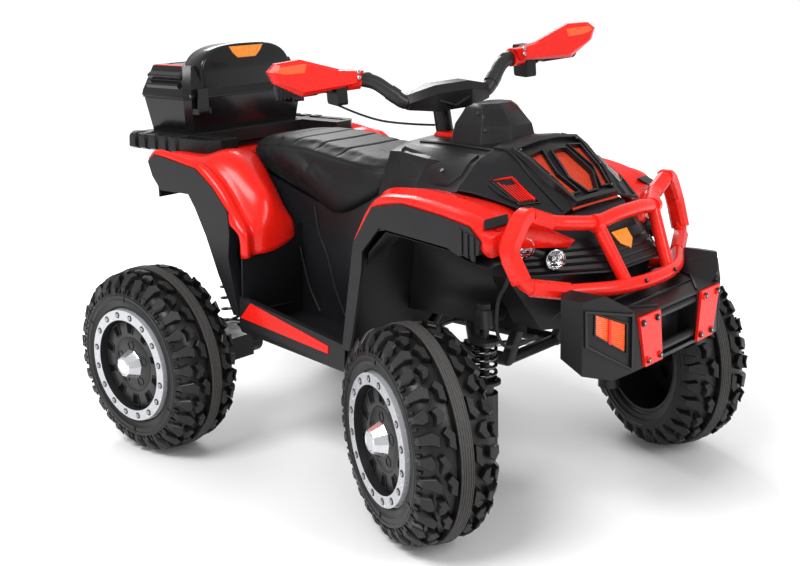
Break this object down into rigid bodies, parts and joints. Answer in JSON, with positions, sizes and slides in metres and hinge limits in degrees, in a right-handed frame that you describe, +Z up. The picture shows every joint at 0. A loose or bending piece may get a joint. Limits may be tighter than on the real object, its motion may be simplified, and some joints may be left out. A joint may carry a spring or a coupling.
{
  "type": "kids quad bike",
  "caption": "Child's electric ride-on quad bike with chunky wheels, padded seat, sprung front struts, steering by handlebar, bull bar and a rear trunk whose lid opens.",
  "frame": {"origin": "floor level under the middle of the bounding box", "axes": "+X forward, +Y to the rider's left, +Z up"},
  "size_m": [1.2, 0.879, 0.8164],
  "materials": {
    "red_panel": "gloss",
    "black_panel": "satin",
    "tyre": "moulded tread",
    "rim": "satin with pale ring",
    "painted_steel": "powder coat",
    "bright_steel": "zinc plated",
    "rubber": "matt",
    "seat_cover": "grained, sewn",
    "amber_lens": "ribbed lens",
    "lamp": "polished",
    "trunk_gloss": "gloss",
    "battery_case": "matt"
  },
  "bodies": {
    "chassis": {"battery": "battery_case", "bonnet": "black_panel", "bonnet_mesh": "red_panel", "bull_bar": "red_panel", "bumper": "black_panel", "bumper_plate_left": "red_panel", "bumper_plate_right": "red_panel", "console": "black_panel", "dash_pod": "black_panel", "frame": "painted_steel", "front_fascia": "black_panel", "front_fender": "red_panel", "front_flare_left": "black_panel", "front_flare_right": "black_panel", "front_lead": "rubber", "front_spring_left": "painted_steel", "front_spring_right": "painted_steel", "lamp_pair_left": "lamp", "lamp_pair_right": "lamp", "lower_body": "black_panel", "marker_lens_left": "amber_lens", "marker_lens_right": "amber_lens", "rear_fender": "red_panel", "rear_flare_left": "black_panel", "rear_flare_right": "black_panel", "rear_rack": "black_panel", "rear_spring_left": "painted_steel", "rear_spring_right": "painted_steel", "seat_cushion": "seat_cover", "trunk_tub": "trunk_gloss"},
    "handlebar": {"handlebar": "painted_steel", "bar_pad": "rubber", "grip_left": "rubber", "grip_right": "rubber", "guard_left": "red_panel", "guard_right": "red_panel", "switch_pod": "black_panel", "throttle_housing": "black_panel", "bar_wire": "rubber"},
    "throttle_lever": {"thumb_lever": "black_panel"},
    "swing_arm": {"swing_arm": "painted_steel", "gear_motor_left": "black_panel", "gear_motor_right": "black_panel"},
    "trunk_lid": {"trunk_lid": "trunk_gloss"},
    "slider_left": {"slider_left": "bright_steel"},
    "knuckle_left": {"knuckle_left": "bright_steel"},
    "tie_rod_left": {"tie_rod_left": "bright_steel"},
    "front_wheel_left": {"front_tyre_left": "tyre", "front_rim_left": "rim"},
    "rear_wheel_left": {"rear_tyre_left": "tyre", "rear_rim_left": "rim"},
    "latch_left": {"latch_left": "black_panel"},
    "slider_right": {"slider_right": "bright_steel"},
    "knuckle_right": {"knuckle_right": "bright_steel"},
    "tie_rod_right": {"tie_rod_right": "bright_steel"},
    "front_wheel_right": {"front_tyre_right": "tyre", "front_rim_right": "rim"},
    "rear_wheel_right": {"rear_tyre_right": "tyre", "rear_rim_right": "rim"},
    "latch_right": {"latch_right": "black_panel"}
  },
  "joints": [
    {"name": "steering", "type": "hinge", "parent": "chassis", "child": "handlebar", "pos_m": [0.099, 0, 0.65], "axis": [-0.1736, 0, 0.9848], "range_deg": [-1.6, 48.4]},
    {"name": "throttle", "type": "hinge", "parent": "handlebar", "child": "throttle_lever", "pos_m": [-0.03603, -0.1592, 0.7213], "axis": [-0.0141, -0.069, 0.9975], "range_deg": [0, 10], "stiffness_Nm_per_rad": 0.3, "springref_deg": -5.73},
    {"name": "strut_left", "type": "slide", "parent": "chassis", "child": "slider_left", "axis": [0, 0, 1], "range_m": [0, 0.025], "stiffness_N_per_m": 6000, "springref_m": -0.03, "deforming": ["front_spring_left"]},
    {"name": "kingpin_left", "type": "hinge", "parent": "slider_left", "child": "knuckle_left", "pos_m": [0.342, 0.195, 0.192], "axis": [0, 0, 1], "range_deg": [-1.6, 48.4]},
    {"name": "tie_rod_pin_left", "type": "hinge", "parent": "knuckle_left", "child": "tie_rod_left", "pos_m": [0.26998, 0.25014, 0.204], "axis": [0, 0, 1], "range_deg": [-48.4, 1.6]},
    {"name": "front_wheel_spin_left", "type": "hinge", "parent": "knuckle_left", "child": "front_wheel_left", "pos_m": [0.39363, 0.31431, 0.185], "axis": [0.3971, 0.9178, 0], "continuous": true},
    {"name": "rear_wheel_spin_left", "type": "hinge", "parent": "swing_arm", "child": "rear_wheel_left", "pos_m": [-0.384, 0.325, 0.185], "axis": [0, 1, 0], "continuous": true},
    {"name": "latch_turn_left", "type": "hinge", "parent": "chassis", "child": "latch_left", "pos_m": [-0.428, 0.132, 0.652], "axis": [0, 1, 0], "range_deg": [0, 100]},
    {"name": "strut_right", "type": "slide", "parent": "chassis", "child": "slider_right", "axis": [0, 0, 1], "range_m": [0, 0.025], "stiffness_N_per_m": 6000, "springref_m": -0.03, "deforming": ["front_spring_right"]},
    {"name": "kingpin_right", "type": "hinge", "parent": "slider_right", "child": "knuckle_right", "pos_m": [0.342, -0.195, 0.192], "axis": [0, 0, 1], "range_deg": [-1.6, 48.4]},
    {"name": "tie_rod_pin_right", "type": "hinge", "parent": "knuckle_right", "child": "tie_rod_right", "pos_m": [0.2525, -0.18024, 0.204], "axis": [0, 0, 1], "range_deg": [-48.4, 1.6]},
    {"name": "front_wheel_spin_right", "type": "hinge", "parent": "knuckle_right", "child": "front_wheel_right", "pos_m": [0.29037, -0.31431, 0.185], "axis": [0.3971, 0.9178, 0], "continuous": true},
    {"name": "rear_wheel_spin_right", "type": "hinge", "parent": "swing_arm", "child": "rear_wheel_right", "pos_m": [-0.384, -0.325, 0.185], "axis": [0, 1, 0], "continuous": true},
    {"name": "latch_turn_right", "type": "hinge", "parent": "chassis", "child": "latch_right", "pos_m": [-0.428, -0.132, 0.652], "axis": [0, 1, 0], "range_deg": [0, 100]},
    {"name": "rear_suspension", "type": "hinge", "parent": "chassis", "child": "swing_arm", "pos_m": [-0.17, 0, 0.25], "axis": [0, 1, 0], "range_deg": [0, 6], "stiffness_Nm_per_rad": 1400, "springref_deg": -4.01, "deforming": ["rear_spring_left", "rear_spring_right"]},
    {"name": "lid_hinge", "type": "hinge", "parent": "chassis", "child": "trunk_lid", "pos_m": [-0.594, 0, 0.68], "axis": [0, -1, 0], "range_deg": [0, 95]}
  ],
  "couplings": [
    {"joint": "kingpin_left", "follows": "steering", "ratio": 1},
    {"joint": "tie_rod_pin_left", "follows": "steering", "ratio": -1},
    {"joint": "kingpin_right", "follows": "steering", "ratio": 1},
    {"joint": "tie_rod_pin_right", "follows": "steering", "ratio": -1}
  ]
}
